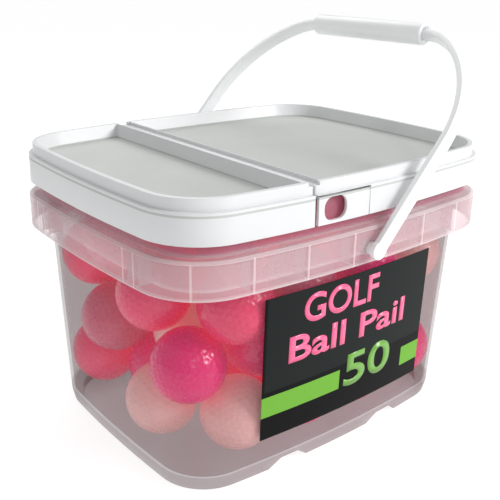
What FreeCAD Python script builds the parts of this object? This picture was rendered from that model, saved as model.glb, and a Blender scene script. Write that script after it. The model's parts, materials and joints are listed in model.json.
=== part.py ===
"""A hinged-lid plastic pail with a bail handle, filled with fifty golf balls.

Millimetres, +Z up. The origin is on the floor under the middle of the pail. +X runs along the long
side, from the small lid panel to the large one, and -Y is the long side that carries the label.
"""
import FreeCAD, Part
import math
import os
import random
import Sketcher

doc = FreeCAD.newDocument("GolfBallPail")

# ---------------------------------------------------------------- driving dimensions
SIZES = [
    # the ball, whose size the rules of golf fix
    ("ball_radius", 21.335), ("cover_thickness", 1.6), ("core_gap", 0.05), ("ball_gap", 0.25),
    # plan of the lid skirt: every level of the pail is this outline moved inwards by an inset
    ("lid_length", 239.8), ("lid_width", 192.8), ("lid_corner", 35.7),
    ("side_bow", 772.0), ("end_bow", 835.0),
    # heights of the tub
    ("foot_top", 6.0), ("floor_top", 8.0), ("band_low", 118.9), ("band_top", 137.7),
    ("neck_low", 140.4), ("neck_top", 159.4), ("hollow_top", 135.5), ("mouth_low", 138.5),
    # insets and corner radii of the tub
    ("foot_inset", 14.6), ("foot_corner", 30.0), ("chamfer_inset", 13.2), ("chamfer_corner", 31.4),
    ("wall_inset", 9.5), ("wall_corner", 27.0), ("wall_thickness", 1.8), ("foot_width", 6.0),
    ("band_inset", -1.2), ("band_thickness", 2.0), ("neck_inset", 3.9), ("neck_thickness", 1.4),
    ("rib_thickness", 1.4), ("foot_recess", 5.8), ("notch_near", 24.0), ("notch_far", 54.0),
    ("notch_slope", 9.0),
    # heights and insets of the lid
    ("skirt_low", 146.0), ("skirt_top", 162.0), ("lid_top", 168.3), ("panel_top", 160.1),
    ("panel_low", 158.3), ("channel_top", 160.0), ("skirt_thickness", 1.8), ("skirt_draft", 0.3),
    ("crest_inset", 2.5), ("crest_inner", 5.7), ("recess_foot", 7.5), ("plug_inset", 5.8),
    # the fold between the two lid panels
    ("fold_x", -39.4), ("fold_z", 165.9), ("fold_half", 4.8), ("fold_notch", 3.6), ("fold_gap", 0.9),
    ("fold_bead", 0.8), ("fold_web", 0.4), ("ridge_width", 2.6),
    # the tear tab in the front of the skirt
    ("tab_left", -37.9), ("tab_hinge", -3.0), ("tab_top", 160.6), ("tab_gap", 1.1), ("tab_bead", 0.85),
    ("hole_x", -26.6), ("hole_z", 153.8), ("hole_width", 15.2), ("hole_height", 12.4), ("hole_corner", 5.4),
    # the bail handle and its grip
    ("pivot_z", 127.0), ("bail_half", 102.3), ("bail_straight", 69.0), ("bail_height", 138.5),
    ("side_bend", 74.0), ("top_bend", 40.0), ("strap_width", 8.0), ("strap_thickness", 3.2),
    ("ear_radius", 4.9), ("pin_radius", 3.6), ("pin_clearance", 0.06), ("pin_head", 4.5),
    ("pin_end", 93.4), ("head_face", 95.2), ("bail_lean", 42.4),
    ("grip_half", 46.6), ("grip_radius", 6.7), ("grip_rod", 3.4), ("grip_recess", 5.3),
    ("recess_depth", 3.0),
    # the label on the front of the tub
    ("label_left", -61.0), ("label_right", 68.5), ("label_low", 23.0), ("label_top", 108.0),
    ("label_thickness", 0.3), ("label_gap", 0.02),
]
sheet = doc.addObject("Spreadsheet::Sheet", "Sizes")
for row, (alias, value) in enumerate(SIZES, start=1):
    sheet.set(f"A{row}", alias)
    sheet.set(f"B{row}", str(value))
    sheet.setAlias(f"B{row}", alias)
doc.recompute()
size = {alias: float(sheet.get(alias)) for alias, _ in SIZES}

# rib places along the long sides (x) and the short sides (y), and the number of balls
SIDE_RIBS = (-77.0, -44.0, -12.5, 12.5, 44.0, 77.0)
END_RIBS = (-53.0, -44.0, 44.0, 53.0)
BALL_COUNT = 50
SETTLE_ROUNDS = 2400
# where the balls that show clearly through the wall lie, near the corner left of the label
SHOWN_BALLS = [(-83, -48, 61), (-84, -15, 90), (-61, -60, 94), (-83, -19, 29), (-59, -58, 29),
               (-84, 39, 59), (-80, 60, 30)]
# a spot by the end wall that no ball has rolled into, and the room it keeps
EMPTY_SPOT = (-88, 20, 26)
EMPTY_REACH = 27

HALF_LENGTH = "Sizes.lid_length / 2"
HALF_WIDTH = "Sizes.lid_width / 2"


# ---------------------------------------------------------------- bowed, rounded outlines
def corner_centre(half_length, half_width, corner):
    """Centre of the corner arc that is tangent inside the bowed side and the bowed end."""
    side_centre = FreeCAD.Vector(0, half_width - size["side_bow"], 0)
    end_centre = FreeCAD.Vector(half_length - size["end_bow"], 0, 0)
    side_reach = size["side_bow"] - corner
    end_reach = size["end_bow"] - corner
    between = end_centre - side_centre
    along = (side_reach ** 2 - end_reach ** 2 + between.Length ** 2) / (2 * between.Length)
    across = math.sqrt(side_reach ** 2 - along ** 2)
    way = between / between.Length
    foot = side_centre + way * along
    return foot + FreeCAD.Vector(way.y, -way.x, 0) * across


def arc(centre, radius, start, end):
    circle = Part.Circle(centre, FreeCAD.Vector(0, 0, 1), radius)
    return Part.ArcOfCircle(circle, start, end)


def outline_arcs(half_length, half_width, corner):
    """The eight tangent arcs of the outline, anticlockwise from the +X end."""
    centre = corner_centre(half_length, half_width, corner)
    side_rise = size["side_bow"] - half_width
    end_reach = size["end_bow"] - half_length
    end_turn = math.atan2(centre.y, centre.x + end_reach)
    side_turn = math.atan2(centre.y + side_rise, centre.x)
    half, whole = math.pi, 2 * math.pi
    middle = FreeCAD.Vector
    return [
        arc(middle(-end_reach, 0, 0), size["end_bow"], -end_turn, end_turn),
        arc(middle(centre.x, centre.y, 0), corner, end_turn, side_turn),
        arc(middle(0, -side_rise, 0), size["side_bow"], side_turn, half - side_turn),
        arc(middle(-centre.x, centre.y, 0), corner, half - side_turn, half - end_turn),
        arc(middle(end_reach, 0, 0), size["end_bow"], half - end_turn, half + end_turn),
        arc(middle(-centre.x, -centre.y, 0), corner, half + end_turn, half + side_turn),
        arc(middle(0, side_rise, 0), size["side_bow"], half + side_turn, whole - side_turn),
        arc(middle(centre.x, -centre.y, 0), corner, whole - side_turn, whole - end_turn),
    ]


def origin_plane(body, role):
    return next(item for item in body.Origin.OriginFeatures if item.Role == role)


def new_body(name):
    body = doc.addObject("PartDesign::Body", name)
    body.Label = name
    return body


def new_sketch(body, name, role, height="0"):
    """An empty sketch on one of the body's own planes, raised by an expression."""
    sketch = body.newObject("Sketcher::SketchObject", name)
    sketch.AttachmentSupport = (origin_plane(body, role), "")
    sketch.MapMode = "FlatFace"
    sketch.setExpression("AttachmentOffset.Base.z", height)
    return sketch


def add_outline(sketch, inset, corner):
    """Draw one outline in the sketch and bind its sizes to the sheet."""
    half_length = f"{HALF_LENGTH} - ({inset})"
    half_width = f"{HALF_WIDTH} - ({inset})"
    arcs = outline_arcs(value_of(half_length), value_of(half_width), value_of(corner))
    first = sketch.addGeometry(arcs, False)[0]
    for step in range(8):
        sketch.addConstraint(Sketcher.Constraint("Tangent", first + step, 2, first + (step + 1) % 8, 1))
    radii = {0: "Sizes.end_bow", 1: corner, 2: "Sizes.side_bow"}
    for step, text in radii.items():
        index = sketch.addConstraint(Sketcher.Constraint("Radius", first + step, arcs[step].Radius))
        sketch.setExpression(f"Constraints[{index}]", text)
    for one, other in ((0, 4), (2, 6), (1, 3), (1, 5), (1, 7)):
        sketch.addConstraint(Sketcher.Constraint("Equal", first + one, first + other))
    for step in (0, 4):
        sketch.addConstraint(Sketcher.Constraint("PointOnObject", first + step, 3, -1))
    for step in (2, 6):
        sketch.addConstraint(Sketcher.Constraint("PointOnObject", first + step, 3, -2))
    end_reach = f"Sizes.end_bow - ({half_length})"
    side_rise = f"Sizes.side_bow - ({half_width})"
    spans = (("DistanceX", (first, 3, -1, 1), abs(arcs[0].Center.x), end_reach),
             ("DistanceX", (-1, 1, first + 4, 3), abs(arcs[4].Center.x), end_reach),
             ("DistanceY", (first + 2, 3, -1, 1), abs(arcs[2].Center.y), side_rise),
             ("DistanceY", (-1, 1, first + 6, 3), abs(arcs[6].Center.y), side_rise))
    for kind, points, value, text in spans:
        index = sketch.addConstraint(Sketcher.Constraint(kind, *points, value))
        sketch.setExpression(f"Constraints[{index}]", text)


def level(body, name, height, inset, corner=None):
    """A sketch of the outline at one height. Without a corner radius the outline is a true offset."""
    sketch = new_sketch(body, f"{body.Name}_{name}", "XY_Plane", height)
    add_outline(sketch, inset, corner or f"Sizes.lid_corner - ({inset})")
    return sketch


def loft(body, name, levels, subtract=False):
    """A ruled loft through levels given as (height, inset) or (height, inset, corner)."""
    kind = "PartDesign::SubtractiveLoft" if subtract else "PartDesign::AdditiveLoft"
    sketches = [level(body, f"{name}_{index}", *entry) for index, entry in enumerate(levels)]
    feature = body.newObject(kind, f"{body.Name}_{name}")
    feature.Profile = sketches[0]
    feature.Sections = sketches[1:]
    feature.Ruled = True
    return feature


def value_of(text):
    """The number that an expression over the sheet gives."""
    return float(sheet.evalExpression(text.replace("Sizes.", "")))


def polygon(sketch, corners):
    """A closed outline of straight lines whose corners are pairs of expressions."""
    points = [FreeCAD.Vector(value_of(x), value_of(y), 0) for x, y in corners]
    count = len(points)
    lines = [Part.LineSegment(points[i], points[(i + 1) % count]) for i in range(count)]
    first = sketch.addGeometry(lines, False)[0]
    for step, (point, texts) in enumerate(zip(points, corners)):
        line = first + step
        after = first + (step + 1) % count
        sketch.addConstraint(Sketcher.Constraint("Coincident", line, 2, after, 1))
        for kind, value, text in zip(("DistanceX", "DistanceY"), (point.x, point.y), texts):
            index = sketch.addConstraint(Sketcher.Constraint(kind, line, 1, value))
            sketch.setExpression(f"Constraints[{index}]", text)


def rectangle(sketch, left, low, right, high):
    polygon(sketch, [(left, low), (right, low), (right, high), (left, high)])


def disc(sketch, across, up, radius):
    """A circle whose centre and radius are expressions."""
    centre = FreeCAD.Vector(value_of(across), value_of(up), 0)
    circle = Part.Circle(centre, FreeCAD.Vector(0, 0, 1), value_of(radius))
    ring = sketch.addGeometry(circle, False)
    for kind, value, text in (("DistanceX", centre.x, across), ("DistanceY", centre.y, up)):
        index = sketch.addConstraint(Sketcher.Constraint(kind, ring, 3, value))
        sketch.setExpression(f"Constraints[{index}]", text)
    index = sketch.addConstraint(Sketcher.Constraint("Radius", ring, circle.Radius))
    sketch.setExpression(f"Constraints[{index}]", radius)


def pad(body, name, sketch, length, subtract=False, **options):
    kind = "PartDesign::Pocket" if subtract else "PartDesign::Pad"
    feature = body.newObject(kind, f"{body.Name}_{name}")
    feature.Profile = sketch
    feature.setExpression("Length", length)
    for key, value in options.items():
        setattr(feature, key, value)
    return feature


def cylinder(name, radius, height, place, turn=None):
    """A Part cylinder bound to the sheet; place is three expressions, turn a rotation."""
    shape = doc.addObject("Part::Cylinder", name)
    shape.setExpression("Radius", radius)
    shape.setExpression("Height", height)
    if turn:
        shape.Placement.Rotation = turn
    for key, text in zip("xyz", place):
        shape.setExpression(f"Placement.Base.{key}", text)
    return shape


def box(name, low, high):
    """A Part box between two corners given as expressions."""
    shape = doc.addObject("Part::Box", name)
    for key, side, start, end in zip("xyz", ("Length", "Width", "Height"), low, high):
        shape.setExpression(f"Placement.Base.{key}", start)
        shape.setExpression(side, f"({end}) - ({start})")
    return shape


def boolean(kind, name, base, *tools):
    """Part::Cut, Part::Common or Part::MultiFuse of earlier objects."""
    result = doc.addObject(kind, name)
    if kind == "Part::MultiFuse":
        result.Shapes = [base, *tools]
    else:
        result.Base, result.Tool = base, tools[0]
    result.Refine = True
    return result


def bow_reach(half, bow, offset):
    """Expression: how far a bowed side reaches from the middle line at an offset along it."""
    return f"({half}) - Sizes.{bow} + sqrt(Sizes.{bow} ^ 2 - ({offset}) ^ 2)"


ALONG_Y = FreeCAD.Rotation(FreeCAD.Vector(1, 0, 0), -90)


# ---------------------------------------------------------------- tub
def add_ribs(sketch):
    """Plates that join the band to the wall, along both long sides and both ends."""
    root = "Sizes.wall_inset + 5"
    half_rib = "Sizes.rib_thickness / 2"
    for place in SIDE_RIBS:
        tip = bow_reach(f"{HALF_WIDTH} - Sizes.band_inset - 1", "side_bow", place)
        left, right = f"{place} - {half_rib}", f"{place} + {half_rib}"
        rectangle(sketch, left, f"{HALF_WIDTH} - ({root})", right, tip)
        rectangle(sketch, left, f"-({tip})", right, f"-({HALF_WIDTH} - ({root}))")
    for place in END_RIBS:
        tip = bow_reach(f"{HALF_LENGTH} - Sizes.band_inset - 1", "end_bow", place)
        low, high = f"{place} - {half_rib}", f"{place} + {half_rib}"
        rectangle(sketch, f"{HALF_LENGTH} - ({root})", low, tip, high)
        rectangle(sketch, f"-({tip})", low, f"-({HALF_LENGTH} - ({root}))", high)


def add_notches(sketch):
    """Two trapezium notches, which leave a middle foot and a foot at each corner."""
    near, far = "Sizes.notch_near", "Sizes.notch_far"
    slope, rise = "Sizes.notch_slope", "Sizes.foot_recess"
    for sign in ("", "-"):
        polygon(sketch, [(f"{sign}({near})", "-1"), (f"{sign}({far})", "-1"),
                         (f"{sign}({far} - {slope})", rise), (f"{sign}({near} + {slope})", rise)])


def make_tub():
    """One moulding: tapered wall and floor, notched foot ring, hollow ribbed collar and neck."""
    body = new_body("tub_shell")
    loft(body, "collar", [("Sizes.band_low", "Sizes.band_inset"), ("Sizes.band_top", "Sizes.band_inset"),
                          ("Sizes.neck_low", "Sizes.neck_inset"), ("Sizes.neck_top", "Sizes.neck_inset")])
    hollow = "Sizes.band_inset + Sizes.band_thickness"
    loft(body, "hollow", [("Sizes.band_low - 1", hollow), ("Sizes.hollow_top", hollow)], True)
    mouth = "Sizes.neck_inset + Sizes.neck_thickness"
    loft(body, "mouth", [("Sizes.mouth_low", mouth), ("Sizes.neck_top + 1", mouth)], True)
    ribs = new_sketch(body, "rib_plan", "XY_Plane", "Sizes.band_low + 0.8")
    add_ribs(ribs)
    pad(body, "ribs", ribs, "Sizes.hollow_top - Sizes.band_low")
    loft(body, "wall", [("0", "Sizes.foot_inset", "Sizes.foot_corner"),
                        ("Sizes.foot_top", "Sizes.chamfer_inset", "Sizes.chamfer_corner"),
                        ("Sizes.mouth_low", "Sizes.wall_inset", "Sizes.wall_corner")])
    inner = "Sizes.wall_thickness"
    loft(body, "cavity", [
        ("Sizes.floor_top", f"Sizes.chamfer_inset + {inner}", f"Sizes.chamfer_corner - {inner}"),
        ("Sizes.mouth_low + 1", f"Sizes.wall_inset + {inner}", f"Sizes.wall_corner - {inner}")], True)
    under = new_sketch(body, "under_plan", "XY_Plane")
    add_outline(under, "Sizes.foot_inset + Sizes.foot_width", "Sizes.foot_corner - Sizes.foot_width")
    pad(body, "under", under, "Sizes.foot_recess", True, Reversed=True)
    notches = new_sketch(body, "notch_section", "XZ_Plane")
    add_notches(notches)
    pad(body, "notches", notches, "Sizes.lid_width", True, Midplane=True)
    reach = f"{HALF_WIDTH} - Sizes.band_inset"
    for side, start in (("back", f"{reach} - 4"), ("front", f"-({reach}) - 1")):
        cylinder(f"pivot_hole_{side}", "Sizes.pin_radius + Sizes.pin_clearance", "5",
                 ("0", start, "Sizes.pivot_z"), ALONG_Y)
    holes = boolean("Part::MultiFuse", "pivot_holes", doc.pivot_hole_back, doc.pivot_hole_front)
    return boolean("Part::Cut", "tub", body, holes)


def make_label():
    """A thin printed sheet that follows the front wall of the tub."""
    body = new_body("label_skin")
    for name, rise, subtract in (("outer", "Sizes.label_thickness + Sizes.label_gap", False),
                                 ("inner", "Sizes.label_gap", True)):
        low = ("Sizes.foot_top", f"Sizes.chamfer_inset - ({rise})", f"Sizes.chamfer_corner + {rise}")
        high = ("Sizes.mouth_low", f"Sizes.wall_inset - ({rise})", f"Sizes.wall_corner + {rise}")
        loft(body, name, [low, high], subtract)
    patch = box("label_patch", ("Sizes.label_left", f"-({HALF_WIDTH})", "Sizes.label_low"),
                ("Sizes.label_right", "0", "Sizes.label_top"))
    return boolean("Part::Common", "label", body, patch)


# ---------------------------------------------------------------- lid
def make_lid_shell():
    """The whole lid before it is parted: skirt, crest, recessed panel, two ridges and the groove."""
    body = new_body("lid_shell")
    loft(body, "skirt", [("Sizes.skirt_low", "0"), ("Sizes.skirt_top", "Sizes.skirt_draft")])
    loft(body, "crest", [("Sizes.skirt_top - 1", "Sizes.crest_inset"),
                         ("Sizes.lid_top", "Sizes.crest_inset + Sizes.skirt_draft")])
    loft(body, "under", [("Sizes.skirt_low - 1", "Sizes.skirt_thickness"),
                         ("Sizes.panel_low", "Sizes.skirt_thickness")], True)
    loft(body, "recess", [("Sizes.panel_top", "Sizes.recess_foot"),
                          ("Sizes.lid_top + 0.1", "Sizes.crest_inner")], True)
    ridge = new_sketch(body, "ridge_section", "XZ_Plane")
    top, foot = "Sizes.fold_half + 0.6", "Sizes.fold_half + Sizes.ridge_width"
    polygon(ridge, [(f"Sizes.fold_x - ({foot})", "Sizes.panel_low"),
                    (f"Sizes.fold_x + ({foot})", "Sizes.panel_low"),
                    (f"Sizes.fold_x + ({top})", "Sizes.lid_top"),
                    (f"Sizes.fold_x - ({top})", "Sizes.lid_top")])
    pad(body, "ridges", ridge, f"2 * ({HALF_WIDTH} - Sizes.crest_inner - 0.6)", Midplane=True)
    channel = new_sketch(body, "channel_plan", "XY_Plane", "Sizes.panel_low - 0.5")
    add_outline(channel, "Sizes.skirt_thickness", "Sizes.lid_corner - Sizes.skirt_thickness")
    add_outline(channel, "Sizes.plug_inset", "Sizes.lid_corner - Sizes.plug_inset")
    pad(body, "channel", channel, "Sizes.channel_top - Sizes.panel_low + 0.5", True, Reversed=True)
    groove = new_sketch(body, "groove_section", "XZ_Plane")
    rectangle(groove, "Sizes.fold_x - Sizes.fold_half", "Sizes.fold_z + Sizes.fold_web",
              "Sizes.fold_x + Sizes.fold_half", "Sizes.lid_top + 1")
    pad(body, "groove", groove, f"2 * ({HALF_WIDTH} - Sizes.crest_inner)", True, Midplane=True)
    notch = new_sketch(body, "crest_notch", "XZ_Plane")
    rectangle(notch, "Sizes.fold_x - Sizes.fold_notch", "Sizes.fold_z + Sizes.fold_web",
              "Sizes.fold_x + Sizes.fold_notch", "Sizes.lid_top + 1")
    pad(body, "notch", notch, "Sizes.lid_width", True, Midplane=True)
    return body


def make_lid_panels(shell):
    """The shell parted at the fold: the large panel, which also loses the tear tab, and the small one."""
    out_x, out_y = f"{HALF_LENGTH} + 1", f"{HALF_WIDTH} + 1"
    right = box("fold_right", ("Sizes.fold_x + Sizes.fold_gap", f"-({out_y})", "Sizes.skirt_low - 1"),
                (out_x, out_y, "Sizes.lid_top + 1"))
    left = box("fold_left", (f"-({out_x})", f"-({out_y})", "Sizes.skirt_low - 1"),
               ("Sizes.fold_x - Sizes.fold_gap", out_y, "Sizes.lid_top + 1"))
    skirt_back = f"-({HALF_WIDTH} - Sizes.skirt_thickness - 1.6)"
    window = box("tab_window", ("Sizes.fold_x", f"-({out_y})", "Sizes.skirt_low - 1"),
                 ("Sizes.tab_hinge + Sizes.tab_bead + 0.15", skirt_back, "Sizes.tab_top + Sizes.tab_gap"))
    large = boolean("Part::Common", "lid_large_half", shell, right)
    return [boolean("Part::Cut", "lid_large_panel", large, window),
            boolean("Part::Common", "lid_small_panel", shell, left)]


def make_fold_strip():
    """The living hinge: a round bead on the fold's axis and the web that joins it to the large panel."""
    half = f"({HALF_WIDTH} - Sizes.crest_inner - 2)"
    bead = cylinder("fold_bead_rod", "Sizes.fold_bead", f"2 * {half}",
                    ("Sizes.fold_x", f"-{half}", "Sizes.fold_z"), ALONG_Y)
    web = box("fold_web_plate", ("Sizes.fold_x", f"-{half}", "Sizes.fold_z - Sizes.fold_web"),
              ("Sizes.fold_x + Sizes.fold_gap", half, "Sizes.fold_z + Sizes.fold_web"))
    return boolean("Part::MultiFuse", "lid_fold_strip", bead, web)


def make_tear_tab():
    """The tab torn out of the skirt: a strip of the skirt with a finger hole and a round bend edge."""
    body = new_body("tab_skin")
    loft(body, "outer", [("Sizes.skirt_low", "0"), ("Sizes.skirt_top", "Sizes.skirt_draft")])
    loft(body, "inner", [("Sizes.skirt_low - 1", "Sizes.skirt_thickness"),
                         ("Sizes.skirt_top + 1", "Sizes.skirt_thickness")], True)
    patch = box("tab_patch", ("Sizes.tab_left", f"-({HALF_WIDTH} + 1)", "Sizes.skirt_low"),
                ("Sizes.tab_hinge", "0", "Sizes.tab_top"))
    strip = boolean("Part::Common", "tab_strip", body, patch)
    middle = f"-({HALF_WIDTH} - Sizes.skirt_thickness / 2)"
    bead = cylinder("tab_bead_rod", "Sizes.tab_bead", "Sizes.tab_top - Sizes.skirt_low",
                    ("Sizes.tab_hinge", middle, "Sizes.skirt_low"))
    plain = boolean("Part::MultiFuse", "tab_plain", strip, bead)
    hole = new_body("finger_hole")
    plan = new_sketch(hole, "hole_section", "XZ_Plane", f"{HALF_WIDTH} - 5")
    rectangle(plan, "Sizes.hole_x - Sizes.hole_width / 2", "Sizes.hole_z - Sizes.hole_height / 2",
              "Sizes.hole_x + Sizes.hole_width / 2", "Sizes.hole_z + Sizes.hole_height / 2")
    block = pad(hole, "block", plan, "8")
    doc.recompute()
    upright = [f"Edge{number}" for number, edge in enumerate(block.Shape.Edges, start=1)
               if abs(edge.tangentAt(edge.FirstParameter).y) > 0.9]
    rounding = hole.newObject("PartDesign::Fillet", "hole_corners")
    rounding.Base = (block, upright)
    rounding.setExpression("Radius", "Sizes.hole_corner")
    return boolean("Part::Cut", "tear_tab", plain, hole)


# ---------------------------------------------------------------- bail handle
def bail_path(sketch):
    """The strap's middle line in its own plane: leg, wide bend, tight bend, crown and back down."""
    half, leg, crown = size["bail_half"], size["bail_straight"], size["bail_height"]
    wide, tight = size["side_bend"], size["top_bend"]
    leg_text, crown_text = "Sizes.bail_straight", "Sizes.bail_height"
    rise = crown - tight - leg
    run = math.sqrt((wide - tight) ** 2 - rise ** 2)
    turn = math.atan2(rise, run)
    wide_at, tight_at = half - wide, half - wide + run
    start, middle, half_turn = FreeCAD.Vector(half, 0, 0), FreeCAD.Vector(half, leg, 0), math.pi
    pieces = [
        Part.LineSegment(start, middle),
        arc(FreeCAD.Vector(wide_at, leg, 0), wide, 0, turn),
        arc(FreeCAD.Vector(tight_at, leg + rise, 0), tight, turn, half_turn / 2),
        Part.LineSegment(FreeCAD.Vector(tight_at, crown, 0), FreeCAD.Vector(-tight_at, crown, 0)),
        arc(FreeCAD.Vector(-tight_at, leg + rise, 0), tight, half_turn / 2, half_turn - turn),
        arc(FreeCAD.Vector(-wide_at, leg, 0), wide, half_turn - turn, half_turn),
        Part.LineSegment(FreeCAD.Vector(-half, leg, 0), FreeCAD.Vector(-half, 0, 0)),
    ]
    sketch.addGeometry(pieces, False)
    for index in range(6):
        sketch.addConstraint(Sketcher.Constraint("Tangent", index, 2, index + 1, 1))
    for index in (0, 6):
        sketch.addConstraint(Sketcher.Constraint("Vertical", index))
    for kind, entry, value, text in (
            ("DistanceX", (0, 1), half, "Sizes.bail_half"), ("DistanceY", (0, 1), 0, "0"),
            ("DistanceX", (6, 2), -half, "-Sizes.bail_half"), ("DistanceY", (6, 2), 0, "0"),
            ("DistanceY", (0, 2), leg, leg_text), ("DistanceY", (6, 1), leg, leg_text),
            ("DistanceY", (3, 1), crown, crown_text), ("DistanceY", (3, 2), crown, crown_text),
            ("Radius", (1,), wide, "Sizes.side_bend"), ("Radius", (5,), wide, "Sizes.side_bend"),
            ("Radius", (2,), tight, "Sizes.top_bend"), ("Radius", (4,), tight, "Sizes.top_bend")):
        index = sketch.addConstraint(Sketcher.Constraint(kind, *entry, value))
        sketch.setExpression(f"Constraints[{index}]", text)


def lean(shape):
    """Stand a part made upright on the pivot's axis over towards +X, as the handle rests."""
    shape.Placement.Rotation = FreeCAD.Rotation(FreeCAD.Vector(0, 1, 0), size["bail_lean"])
    shape.setExpression("Placement.Base.z", "Sizes.pivot_z")
    shape.setExpression("Placement.Rotation.Angle", "Sizes.bail_lean")


def make_bail():
    """A flat strap bent into an arch, with a round ear, pin and snap head at each end and a round rod
    at the crown for the grip. It is made upright, with the pivots on the Y axis, and then leaned."""
    body = new_body("bail")
    path = new_sketch(body, "strap_path", "YZ_Plane")
    bail_path(path)
    section = new_sketch(body, "strap_section", "XY_Plane")
    wide, thick = "Sizes.strap_width / 2", "Sizes.strap_thickness / 2"
    rectangle(section, f"-{wide}", f"Sizes.bail_half - {thick}", wide, f"Sizes.bail_half + {thick}")
    strap = body.newObject("PartDesign::AdditivePipe", "strap")
    strap.Profile = section
    strap.Spine = path
    rod_half = "(Sizes.grip_half - Sizes.recess_depth)"
    gap = new_sketch(body, "rod_room", "XZ_Plane")
    rectangle(gap, f"-{wide} - 1", f"Sizes.bail_height - {thick} - 1", f"{wide} + 1",
              f"Sizes.bail_height + {thick} + 1")
    pad(body, "rod_gap", gap, f"2 * {rod_half}", True, Midplane=True)
    rod = new_sketch(body, "rod_section", "XZ_Plane")
    disc(rod, "0", "Sizes.bail_height", "Sizes.grip_rod")
    pad(body, "rod", rod, f"2 * {rod_half} + 0.6", Midplane=True)
    discs = (("ear", "Sizes.ear_radius", f"Sizes.bail_half - {thick}", f"Sizes.bail_half + {thick}"),
             ("pin", "Sizes.pin_radius", "Sizes.pin_end", "Sizes.bail_half"),
             ("head", "Sizes.pin_head", "Sizes.pin_end", "Sizes.head_face"))
    for side in ("front", "back"):
        for name, radius, near, far in discs:
            start = near if side == "front" else f"-({far})"
            plan = new_sketch(body, f"{name}_{side}_section", "XZ_Plane", start)
            disc(plan, "0", "0", radius)
            pad(body, f"{name}_{side}", plan, f"({far}) - ({near})")
    lean(body)
    return body


def make_grip():
    """The handle's grip: a plain tube with a recess in each end, free to turn on the crown rod."""
    body = new_body("grip")
    section = new_sketch(body, "grip_section", "YZ_Plane")
    bore = "Sizes.bail_height + Sizes.grip_rod + Sizes.pin_clearance"
    cup = "Sizes.bail_height + Sizes.grip_recess"
    skin = "Sizes.bail_height + Sizes.grip_radius"
    end, seat = "Sizes.grip_half", "Sizes.grip_half - Sizes.recess_depth"
    polygon(section, [(f"-({end})", cup), (f"-({seat})", cup), (f"-({seat})", bore), (seat, bore),
                      (seat, cup), (end, cup), (end, f"{skin} - 1"), (f"{end} - 1", skin),
                      (f"-({end} - 1)", skin), (f"-({end})", f"{skin} - 1")])
    height = size["bail_height"]
    axis = Part.LineSegment(FreeCAD.Vector(-20, height, 0), FreeCAD.Vector(20, height, 0))
    line = section.addGeometry(axis, True)
    section.addConstraint(Sketcher.Constraint("Horizontal", line))
    index = section.addConstraint(Sketcher.Constraint("DistanceY", line, 1, height))
    section.setExpression(f"Constraints[{index}]", "Sizes.bail_height")
    turned = body.newObject("PartDesign::Revolution", "grip_turned")
    turned.Profile = section
    turned.ReferenceAxis = (section, ["Axis0"])
    turned.Angle = 360
    lean(body)
    return body


# ---------------------------------------------------------------- golf balls
class Cavity:
    """The room inside the tub's wall, at any height, for settling the balls."""

    def __init__(self):
        self.low, self.high = size["floor_top"], size["mouth_low"] + 1
        wall = size["wall_thickness"]
        self.insets = (size["chamfer_inset"] + wall, size["wall_inset"] + wall)
        self.corners = (size["chamfer_corner"] - wall, size["wall_corner"] - wall)

    def at(self, height):
        share = (height - self.low) / (self.high - self.low)
        inset = self.insets[0] + share * (self.insets[1] - self.insets[0])
        corner = self.corners[0] + share * (self.corners[1] - self.corners[0])
        half_length, half_width = size["lid_length"] / 2 - inset, size["lid_width"] / 2 - inset
        return half_length, half_width, corner, corner_centre(half_length, half_width, corner)

    def push_in(self, ball, reach):
        """Move a ball back so that it keeps its reach from the wall and the floor."""
        half_length, half_width, corner, centre = self.at(ball[2])
        ball[2] = max(ball[2], self.low + reach)
        for axis, half, bow in ((1, half_width, size["side_bow"]), (0, half_length, size["end_bow"])):
            sign = 1 if ball[axis] >= 0 else -1
            limit = half - bow + math.sqrt(bow ** 2 - ball[1 - axis] ** 2) - reach
            ball[axis] = sign * min(abs(ball[axis]), limit)
        past_x, past_y = abs(ball[0]) - centre.x, abs(ball[1]) - centre.y
        far = math.hypot(past_x, past_y)
        if past_x > 0 and past_y > 0 and far > corner - reach:
            share = (corner - reach) / far
            ball[0] = math.copysign(centre.x + past_x * share, ball[0])
            ball[1] = math.copysign(centre.y + past_y * share, ball[1])


def push_apart(one, other, spacing, both):
    """Part two centres that are closer than the spacing, moving both of them or only the first."""
    rise = other[2] - one[2]
    if abs(rise) >= spacing:
        return
    along, across = other[0] - one[0], other[1] - one[1]
    apart = math.sqrt(along * along + across * across + rise * rise)
    if not 0 < apart < spacing:
        return
    push = (spacing - apart) / apart
    for axis, step in enumerate((along, across, rise)):
        one[axis] -= push * step / (2 if both else 1)
        if both:
            other[axis] += push * step / 2


def settle_balls():
    """Centres of the balls: dropped at random, pulled down and pushed apart until none of them touch.

    The first few start where they lie against the wall at the corner by the label, and stay near it.
    """
    chooser = random.Random(1)
    balls = [list(place) for place in SHOWN_BALLS]
    while len(balls) < BALL_COUNT:
        balls.append([chooser.uniform(-50, 80), chooser.uniform(-58, 58), chooser.uniform(40, 150)])
    cavity = Cavity()
    spacing = 2 * size["ball_radius"] + size["ball_gap"]
    reach = size["ball_radius"] + size["ball_gap"]
    for turn in range(SETTLE_ROUNDS):
        settling = turn < 0.75 * SETTLE_ROUNDS
        for ball in balls:
            ball[2] -= 0.3 if settling else 0
            push_apart(ball, EMPTY_SPOT, EMPTY_REACH, False)
        for ball, home in zip(balls, SHOWN_BALLS):
            for axis in range(3):
                ball[axis] += 0.3 * (home[axis] - ball[axis]) if settling else 0
        for first, one in enumerate(balls):
            for other in balls[first + 1:]:
                push_apart(one, other, spacing, True)
        for ball in balls:
            cavity.push_in(ball, reach)
    return balls


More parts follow.
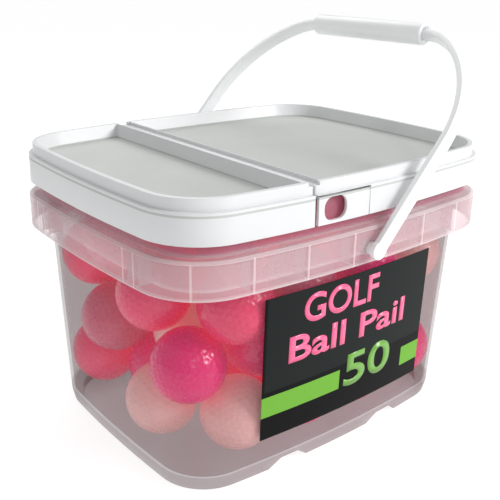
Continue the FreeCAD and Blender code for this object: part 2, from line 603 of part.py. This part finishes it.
def make_balls():
    """Fifty covers, each a node of its own, and their fifty rubber cores as one group."""
    cores, covers = [], []
    for number, place in enumerate(settle_balls(), start=1):
        place = FreeCAD.Vector(*place)
        name = f"ball_{number:02d}"
        solids = {}
        for layer, radius in (("skin", "Sizes.ball_radius"),
                              ("room", "Sizes.ball_radius - Sizes.cover_thickness"),
                              ("core", "Sizes.ball_radius - Sizes.cover_thickness - Sizes.core_gap")):
            solids[layer] = doc.addObject("Part::Sphere", f"{name}_{layer}")
            solids[layer].setExpression("Radius", radius)
            solids[layer].Placement.Base = place
        cover = doc.addObject("Part::Cut", name)
        cover.Base, cover.Tool = solids["skin"], solids["room"]
        covers.append(cover)
        cores.append(solids["core"])
    group = doc.addObject("Part::Compound", "ball_cores")
    group.Links = cores
    return covers + [group]


nodes = [make_tub(), make_label(), *make_lid_panels(make_lid_shell()), make_fold_strip(), make_tear_tab(),
         make_bail(), make_grip(), *make_balls()]
doc.recompute()

# ---------------------------------------------------------------- checks and export
for item in doc.Objects:
    if "Invalid" in item.State or "Error" in item.State:
        raise RuntimeError(f"{item.Name} failed to compute: {item.State}")
os.makedirs("parts", exist_ok=True)
for node in nodes:
    node.Label = node.Name
    if node.Shape.isNull() or not node.Shape.isValid():
        raise RuntimeError(f"{node.Name} has no valid shape")
    node.Shape.exportStep(f"parts/{node.Label}.step")
    count = len(node.Shape.Solids)
    print(f"{node.Label:16s} solids {count:2d}  volume {node.Shape.Volume / 1000:9.2f} cm3")
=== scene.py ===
"""A translucent pail of pink golf balls, with a folding lid, a tear tab, a label and a bail handle.

Metres, +Z up. The pail stands on z = 0 with its label on the -Y side and its large lid panel at +X.
"""
import json
import math
import random

import bpy
from mathutils import Euler, Matrix, Vector, kdtree


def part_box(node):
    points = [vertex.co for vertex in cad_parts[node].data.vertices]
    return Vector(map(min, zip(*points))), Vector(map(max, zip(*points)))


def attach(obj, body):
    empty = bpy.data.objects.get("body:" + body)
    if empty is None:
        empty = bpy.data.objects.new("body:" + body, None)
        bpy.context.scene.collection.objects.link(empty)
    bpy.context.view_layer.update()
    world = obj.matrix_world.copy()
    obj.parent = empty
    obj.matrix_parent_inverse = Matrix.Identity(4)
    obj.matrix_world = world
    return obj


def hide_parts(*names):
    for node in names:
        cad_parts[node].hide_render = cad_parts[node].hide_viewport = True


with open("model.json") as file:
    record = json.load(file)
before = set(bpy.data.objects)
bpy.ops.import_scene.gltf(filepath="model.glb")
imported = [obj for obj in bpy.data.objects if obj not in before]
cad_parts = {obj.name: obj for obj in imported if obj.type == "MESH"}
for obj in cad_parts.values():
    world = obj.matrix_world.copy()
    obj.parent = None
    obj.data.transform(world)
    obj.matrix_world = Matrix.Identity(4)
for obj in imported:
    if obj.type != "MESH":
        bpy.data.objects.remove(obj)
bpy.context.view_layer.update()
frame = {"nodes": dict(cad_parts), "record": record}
studio = bpy.context.scene

# ---------------------------------------------------------------- studio
# A white table lit from below, a soft light over the label side of the pail, a weaker one behind it and
# a small lamp for the glints on the balls. The camera looks down at the corner left of the label.
camera_data = bpy.data.cameras.new("studio_camera")
camera_data.sensor_width = 36
camera_data.lens = 55.66
camera = bpy.data.objects.new("studio_camera", camera_data)
studio.collection.objects.link(camera)
camera_axes = Matrix(((0.77807, -0.62800, 0.01509),
                      (0.20692, 0.27889, 0.93777),
                      (-0.59312, -0.72652, 0.34694))).transposed()
camera_place = Matrix.Translation((-0.29422, -0.35602, 0.26763))
camera.matrix_world = camera_place @ camera_axes.to_4x4()
studio.camera = camera
studio.view_settings.view_transform = "Standard"
studio.cycles.transparent_max_bounces = 32

pail_middle = Vector((0, 0, 0.09))
for name, place, width, power in (("label_softbox", (0.75, -1.10, 0.85), 0.55, 17),
                                  ("small_lamp", (-0.40, -1.15, 0.85), 0.12, 1.3),
                                  ("back_softbox", (0.30, 1.10, 1.30), 1.0, 9)):
    lamp_data = bpy.data.lights.new(name, "AREA")
    lamp_data.size = width
    lamp_data.energy = power
    lamp = bpy.data.objects.new(name, lamp_data)
    lamp.location = place
    lamp.rotation_euler = (pail_middle - lamp.location).to_track_quat("-Z", "Y").to_euler()
    studio.collection.objects.link(lamp)

daylight = bpy.data.worlds.new("white_tent")
daylight.use_nodes = True
tent = daylight.node_tree.nodes["Background"]
tent.inputs["Color"].default_value = (1, 1, 1, 1)
tent.inputs["Strength"].default_value = 0.52
studio.world = daylight

bpy.ops.object.select_all(action="DESELECT")
bpy.ops.mesh.primitive_plane_add(size=30, location=(0, 0, -0.0002))
paper = bpy.context.object
paper.name = "paper"
paper_finish = bpy.data.materials.new("paper")
paper_finish.use_nodes = True
paper_shader = paper_finish.node_tree.nodes["Principled BSDF"]
paper_shader.inputs["Base Color"].default_value = (0.30, 0.30, 0.30, 1)
paper_shader.inputs["Roughness"].default_value = 0.9
paper_shader.inputs["Emission Color"].default_value = (1, 1, 1, 1)
paper_shader.inputs["Emission Strength"].default_value = 0.82
paper_shader.inputs["Specular IOR Level"].default_value = 0.1
paper.data.materials.append(paper_finish)


# ---------------------------------------------------------------- golf balls
# A ball is a rubber core in a glossy moulded cover with 362 round dimples, one at each corner of an
# icosahedron whose edges are cut in six. One cover is modelled and copied to the fifty places, in four
# dyes, each with a little painted glow in its own colour that brightens the balls behind the cloudy wall.
class Amount:
    """A value that varies over a surface, held by a socket of a material's node tree."""

    def __init__(self, socket):
        self.socket = socket

    def node(self, kind, settings, feeds, result=0):
        """A new node of the same tree; its settings go in first, then its sockets' values or links."""
        tree = self.socket.id_data
        new = tree.nodes.new(kind)
        for key, value in settings.items():
            setattr(new, key, value)
        for key, value in feeds.items():
            if isinstance(value, Amount):
                tree.links.new(value.socket, new.inputs[key])
            else:
                new.inputs[key].default_value = value
        return Amount(new.outputs[result])

    def __add__(self, other):
        return self.node("ShaderNodeMath", {"operation": "ADD"}, {0: self, 1: other})

    def __sub__(self, other):
        return self.node("ShaderNodeMath", {"operation": "SUBTRACT"}, {0: self, 1: other})

    def __rsub__(self, other):
        return self.node("ShaderNodeMath", {"operation": "SUBTRACT"}, {0: other, 1: self})

    def __mul__(self, other):
        return self.node("ShaderNodeMath", {"operation": "MULTIPLY"}, {0: self, 1: other})

    def __lt__(self, other):
        return self.node("ShaderNodeMath", {"operation": "LESS_THAN"}, {0: self, 1: other})

    def __gt__(self, other):
        return self.node("ShaderNodeMath", {"operation": "GREATER_THAN"}, {0: self, 1: other})

    def __abs__(self):
        return self.node("ShaderNodeMath", {"operation": "ABSOLUTE"}, {0: self})

    __radd__ = __add__
    __rmul__ = __mul__


def start_finish(name):
    """A new material, its shader, and the place on the object as an Amount."""
    finish = bpy.data.materials.new(name)
    finish.use_nodes = True
    coords = finish.node_tree.nodes.new("ShaderNodeTexCoord").outputs["Object"]
    return finish, finish.node_tree.nodes["Principled BSDF"], Amount(coords)


def grain(place, scale, detail=3.0, roughness=0.55):
    """Cloudy noise from 0 to 1 whose lumps are about 1 / scale metres across."""
    return place.node("ShaderNodeTexNoise", {}, {"Vector": place, "Scale": scale, "Detail": detail,
                                                 "Roughness": roughness})


def between(mask, low, high):
    """The colour low where the mask is 0 and high where it is 1."""
    return mask.node("ShaderNodeMix", {"data_type": "RGBA"}, {0: mask, 6: (*low, 1), 7: (*high, 1)}, 2)


def bumped(height, depth):
    """A normal roughened by a height, depth metres deep where the height goes from 0 to 1."""
    return height.node("ShaderNodeBump", {}, {"Height": height, "Distance": depth, "Strength": 1.0})


def wire(shader, feeds):
    """Feed a shader's sockets, each with a link or with a value."""
    for key, value in feeds.items():
        if isinstance(value, Amount):
            shader.id_data.links.new(value.socket, shader.inputs[key])
        else:
            shader.inputs[key].default_value = value


ball_radius = 0.021335
ball_count = 50
dimple_radius = 0.00176
dimple_depth = 0.00026
dimple_half_width = 0.00168
dimple_lip = 0.0006
face_to_dimple = 0.001
bpy.ops.object.select_all(action="DESELECT")
bpy.ops.mesh.primitive_ico_sphere_add(subdivisions=1, radius=ball_radius)
cover = bpy.context.object
bpy.ops.object.mode_set(mode="EDIT")
bpy.ops.mesh.select_all(action="SELECT")
bpy.ops.mesh.subdivide(number_cuts=5)
bpy.ops.object.mode_set(mode="OBJECT")
for corner in cover.data.vertices:
    corner.co = ball_radius * corner.co.normalized()
dimples = kdtree.KDTree(len(cover.data.vertices))
for number, corner in enumerate(cover.data.vertices):
    dimples.insert(corner.co, number)
dimples.balance()
bpy.ops.object.mode_set(mode="EDIT")
bpy.ops.mesh.select_all(action="SELECT")
bpy.ops.mesh.bevel(offset=dimple_half_width, affect="VERTICES")
bpy.ops.mesh.select_mode(type="FACE")
bpy.ops.mesh.select_all(action="DESELECT")
bpy.ops.object.mode_set(mode="OBJECT")
for face in cover.data.polygons:
    face.select = dimples.find(ball_radius * face.center.normalized())[2] < face_to_dimple
bpy.ops.object.mode_set(mode="EDIT")
bpy.ops.mesh.inset(thickness=dimple_lip, use_individual=True)
bpy.ops.object.mode_set(mode="OBJECT")
cover.modifiers.new("rounder", "SUBSURF").levels = 1
bpy.ops.object.modifier_apply(modifier="rounder")
for corner in cover.data.vertices:
    outward = corner.co.normalized()
    away = dimples.find(ball_radius * outward)[2] / dimple_radius
    corner.co = outward * (ball_radius - dimple_depth * max(0, 1 - away * away))
bpy.ops.object.shade_smooth()

cover_finishes = {}
for slot_name, light, deep in (("ball_hot_pink", (0.98, 0.012, 0.22), (0.90, 0.004, 0.16)),
                               ("ball_coral", (1.00, 0.055, 0.19), (0.97, 0.030, 0.13)),
                               ("ball_pale_pink", (0.97, 0.57, 0.54), (0.90, 0.48, 0.46)),
                               ("ball_mauve", (0.70, 0.10, 0.19), (0.58, 0.070, 0.14))):
    finish, shader, place = start_finish(slot_name)
    cloud = grain(place, 90)
    scuffs = grain(place, 700, 5.0, 0.7)
    dye = between(cloud, deep, light)
    # The emission is a painted glow, not a lamp: it lifts the covers seen through the cloudy wall.
    wire(shader, {"Base Color": dye, "Roughness": 0.16 + 0.22 * scuffs, "Specular IOR Level": 0.5,
                  "Coat Weight": 0.6, "Coat Roughness": 0.12, "Emission Color": dye,
                  "Emission Strength": 0.16, "Normal": bumped(scuffs, 0.00004)})
    cover_finishes[slot_name] = finish

slots = {part["node"]: part["material_slot"] for part in frame["record"]["subparts"]}
turns = random.Random(4)
for number in range(1, ball_count + 1):
    node = f"ball_{number:02d}"
    low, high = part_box(node)
    turned = Euler((turns.uniform(0, 6), turns.uniform(0, 6), turns.uniform(0, 6))).to_matrix().to_4x4()
    copy = bpy.data.objects.new(f"cover_{number:02d}", cover.data.copy())
    copy.data.transform(Matrix.Translation((low + high) / 2) @ turned)
    copy.data.materials.append(cover_finishes[slots[node]])
    studio.collection.objects.link(copy)
    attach(copy, "pail")
    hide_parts(node)
bpy.data.objects.remove(cover)

rubber, shader, place = start_finish("core_rubber")
crumbs = grain(place, 600)
wire(shader, {"Base Color": between(crumbs, (0.030, 0.030, 0.034), (0.075, 0.075, 0.082)),
              "Roughness": 0.75, "Normal": bumped(crumbs, 0.0001)})


def repaint(node, finish):
    """Give a CAD node's own object one finish all over."""
    piece = frame["nodes"][node]
    piece.data.materials.clear()
    piece.data.materials.append(finish)


repaint("ball_cores", rubber)


# ---------------------------------------------------------------- tub
# One injection moulding in natural polypropylene, cloudy but clear enough to see the balls. The
# walls are thin and drafted; the hollow collar is milkier, and its lips and ribs are painted lighter and
# more opaque, partly for the thicker plastic there and partly as a painted highlight where they catch the
# light.
def moulded(node, name, body, finish, edge_round, segments=2):
    """A copy of a CAD node as one closed skin, its sharp edges rounded as a moulding's are."""
    bpy.ops.object.select_all(action="DESELECT")
    piece = bpy.data.objects.new(name, frame["nodes"][node].data.copy())
    studio.collection.objects.link(piece)
    piece.select_set(True)
    bpy.context.view_layer.objects.active = piece
    bpy.ops.mesh.customdata_custom_splitnormals_clear()
    bpy.ops.object.mode_set(mode="EDIT")
    bpy.ops.mesh.select_all(action="SELECT")
    bpy.ops.mesh.remove_doubles(threshold=2e-6)
    bpy.ops.object.mode_set(mode="OBJECT")
    rounding = piece.modifiers.new("rounding", "BEVEL")
    rounding.width = edge_round
    rounding.segments = segments
    rounding.limit_method = "ANGLE"
    rounding.angle_limit = math.radians(28)
    bpy.ops.object.modifier_apply(modifier="rounding")
    bpy.ops.object.shade_smooth_by_angle(angle=math.radians(32))
    piece.data.materials.clear()
    piece.data.materials.append(finish)
    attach(piece, body)
    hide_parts(node)


def along_axis(place, axis):
    """The place's distance from the middle of the pail along X, Y or Z."""
    return place.node("ShaderNodeSeparateXYZ", {}, {0: place}, axis)


def near(amount, middle):
    """1 within half a rib's width of a place along an axis, and 0 elsewhere."""
    return abs(amount - middle) < half_rib


floor_top = 0.0084
collar_low = 0.1185
collar_high = 0.1405
collar_lip_low = 0.1193
collar_lip_high = 0.1380
half_rib = 0.0006
half_lip = 0.0007
half_corner_rib = 0.0008
corner_rib_offset = 0.0235
side_wall_outside = 0.093
end_wall_outside = 0.114
corner_start = 0.100
cloudy, shader, place = start_finish("cloudy_polypropylene")
across = along_axis(place, 0)
depth = along_axis(place, 1)
height = along_axis(place, 2)
haze = grain(place, 22, 4.0)
skin = grain(place, 1600, 2.0)
bottom = height < floor_top
collar = (height > collar_low) * (height < collar_high)
neck = height > collar_high
edges = near(height, collar_lip_low) + (abs(height - collar_lip_high) < half_lip)
side_ribs = (abs(depth) > side_wall_outside) * (near(abs(across), 0.0125) + near(abs(across), 0.044)
                                                + near(abs(across), 0.077))
end_ribs = (abs(across) > end_wall_outside) * (near(abs(depth), 0.044) + near(abs(depth), 0.053))
corner_ribs = ((abs(across) > corner_start)
               * (abs(abs(across) - abs(depth) - corner_rib_offset) < half_corner_rib))
ribs = (side_ribs + end_ribs + corner_ribs) * (height > collar_low) * (height < collar_lip_high - 0.0002)
# Lips and ribs painted lighter and more opaque: partly the thicker plastic, partly a painted highlight.
thick_and_highlit = edges + ribs
# The rear walls and the far end are made more opaque so their dark tone shows more there: painted shade,
# standing in for the shade inside the pail seen through them.
rear_painted_shade = depth.node("ShaderNodeMapRange", {}, {0: depth, 1: 0.035, 2: 0.088, 3: 0.0, 4: 1.0})
far_end_painted_shade = across.node("ShaderNodeMapRange", {}, {0: across, 1: 0.070, 2: 0.112, 3: 0.0, 4: 1.0})
rear_painted_shade = rear_painted_shade.node("ShaderNodeMath", {"operation": "MAXIMUM"}, {0: rear_painted_shade, 1: far_end_painted_shade})
tone = between(haze, (0.130, 0.048, 0.058), (0.200, 0.088, 0.102))
for part, colour in ((collar, (0.68, 0.50, 0.53, 1)), (neck, (0.46, 0.17, 0.23, 1)),
                     (thick_and_highlit, (0.82, 0.70, 0.72, 1))):
    tone = place.node("ShaderNodeMix", {"data_type": "RGBA"}, {0: part, 6: tone, 7: colour}, 2)
wire(shader, {"Base Color": tone, "Roughness": 0.22 + 0.12 * skin, "Specular IOR Level": 0.5,
              "Alpha": (0.12 + 0.09 * haze + 0.30 * rear_painted_shade + 0.24 * bottom)
                       + (0.19 * collar + 0.32 * neck + 0.17 * thick_and_highlit),
              "Normal": bumped(skin, 0.00001)})
moulded("tub", "pail_tub", "pail", cloudy, 0.0004)

# ---------------------------------------------------------------- label
# A printed film stuck to the front wall: black, with a charcoal panel behind the words and two green
# bars beside the number. The words and the number are inks, plain and generic.
panel_low = 0.0525
panel_left = -0.0595
left_bar_end = -0.0045
left_bar_low, left_bar_high = 0.0370, 0.0495
right_bar_start = 0.0510
right_bar_low, right_bar_high = 0.0330, 0.0460
bar_green = (0.155, 0.40, 0.045)
word_pink = (1.0, 0.125, 0.30)
film, shader, place = start_finish("printed_film")
across = along_axis(place, 0)
height = along_axis(place, 2)
fibres = grain(place, 400, 4.0)
panel = (height > panel_low) * (across > panel_left)
left_bar = (across < left_bar_end) * (height > left_bar_low) * (height < left_bar_high)
right_bar = (across > right_bar_start) * (height > right_bar_low) * (height < right_bar_high)
ground = between(panel, (0.0015, 0.0015, 0.0015), (0.010, 0.013, 0.0125))
inked = place.node("ShaderNodeMix", {"data_type": "RGBA"},
                   {0: left_bar + right_bar, 6: ground, 7: (*bar_green, 1)}, 2)
wire(shader, {"Base Color": inked, "Roughness": 0.38 + 0.10 * fibres, "Specular IOR Level": 0.10,
              "Normal": bumped(fibres, 0.000015)})
repaint("label", film)


collar_front = 0.0964
wall_step_at_foot = 0.0132
wall_lean = 0.0037
wall_foot = 0.006
wall_rise = 0.1325
wall_bow_radius = 0.772
ink_stand_off = 0.00042
ink_thickness = 0.00008


def print_words(name, words, middle, low, width, letter_height, ink):
    """Letters cut from a thin film, laid on the bowed and leaning front wall of the tub."""
    bpy.ops.object.select_all(action="DESELECT")
    bpy.ops.object.text_add()
    piece = bpy.context.object
    piece.name = name
    piece.data.body = words
    piece.data.offset = 0.02
    piece.data.resolution_u = 6
    bpy.ops.object.convert(target="MESH")
    left = min(corner.co.x for corner in piece.data.vertices)
    right = max(corner.co.x for corner in piece.data.vertices)
    top = max(corner.co.y for corner in piece.data.vertices)
    for corner in piece.data.vertices:
        x = middle + width * ((corner.co.x - left) / (right - left) - 0.5)
        z = low + letter_height * corner.co.y / top
        wall = collar_front - (wall_step_at_foot - wall_lean * (z - wall_foot) / wall_rise)
        y = wall - wall_bow_radius + math.sqrt(wall_bow_radius ** 2 - x ** 2) + ink_stand_off
        corner.co = (x, -y, z)
    sheet = piece.modifiers.new("film", "SOLIDIFY")
    sheet.thickness = ink_thickness
    sheet.offset = -1
    bpy.ops.object.modifier_apply(modifier="film")
    piece.data.materials.append(ink)
    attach(piece, "pail")


for name, words, middle, low, width, letter_height, colour in (
        ("words_upper", "GOLF", -0.0063, 0.0880, 0.0575, 0.0165, word_pink),
        ("words_lower", "Ball Pail", 0.0023, 0.0665, 0.0930, 0.0155, word_pink),
        ("number", "50", 0.0190, 0.0370, 0.0400, 0.0208, bar_green)):
    ink, shader, place = start_finish(name + "_ink")
    speckle = grain(place, 900)
    wire(shader, {"Base Color": between(speckle, tuple(0.9 * part for part in colour), colour),
                  "Roughness": 0.3 + 0.1 * speckle, "Coat Weight": 0.2})
    print_words(name, words, middle, low, width, letter_height, ink)


# ---------------------------------------------------------------- lid
# A press-on lid in white polypropylene: skirt, raised crest and two sunk panels with a fine matt
# texture, which fold about a thin living hinge. The sunk panels' floors are painted a darker grey and made
# rougher. A tab with a finger hole tears out of the skirt.
white, shader, place = start_finish("white_polypropylene")
height = along_axis(place, 2)
clouds = grain(place, 30, 4.0)
skin = grain(place, 2200, 2.0)
recess_floor = 0.1601
sunk = abs(height - recess_floor) < 0.0006
tone = between(clouds, (0.67, 0.68, 0.69), (0.72, 0.725, 0.73))
# The recess floors are painted a darker grey than the rest of the lid.
recess_grey = between(clouds, (0.46, 0.48, 0.46), (0.52, 0.54, 0.52))
lid_colour = place.node("ShaderNodeMix", {"data_type": "RGBA"}, {0: sunk, 6: tone, 7: recess_grey}, 2)
wire(shader, {"Base Color": lid_colour, "Roughness": 0.32 + 0.12 * skin + 0.2 * sunk,
              "Specular IOR Level": 0.45, "Normal": bumped(skin, 0.00005)})
moulded("lid_large_panel", "large_panel", "lid", white, 0.0008, 3)
moulded("lid_small_panel", "small_panel", "lid_small", white, 0.0008, 3)
moulded("lid_fold_strip", "fold_strip", "lid", white, 0.0001, 1)
moulded("tear_tab", "tab", "tab", white, 0.0003)

# ---------------------------------------------------------------- handle
# A flat white strap bent into an arch, whose ends pin into the collar, with a smooth tube on the rod
# at its crown for the hand.
glossy, shader, place = start_finish("white_handle_plastic")
clouds = grain(place, 45, 4.0)
skin = grain(place, 1500, 2.0)
wire(shader, {"Base Color": between(clouds, (0.86, 0.875, 0.88), (0.92, 0.93, 0.935)),
              "Roughness": 0.26 + 0.12 * skin, "Specular IOR Level": 0.5, "Normal": bumped(skin, 0.00003)})
moulded("bail", "strap", "handle", glossy, 0.0005)
moulded("grip", "grip_tube", "handle_grip", glossy, 0.0006)
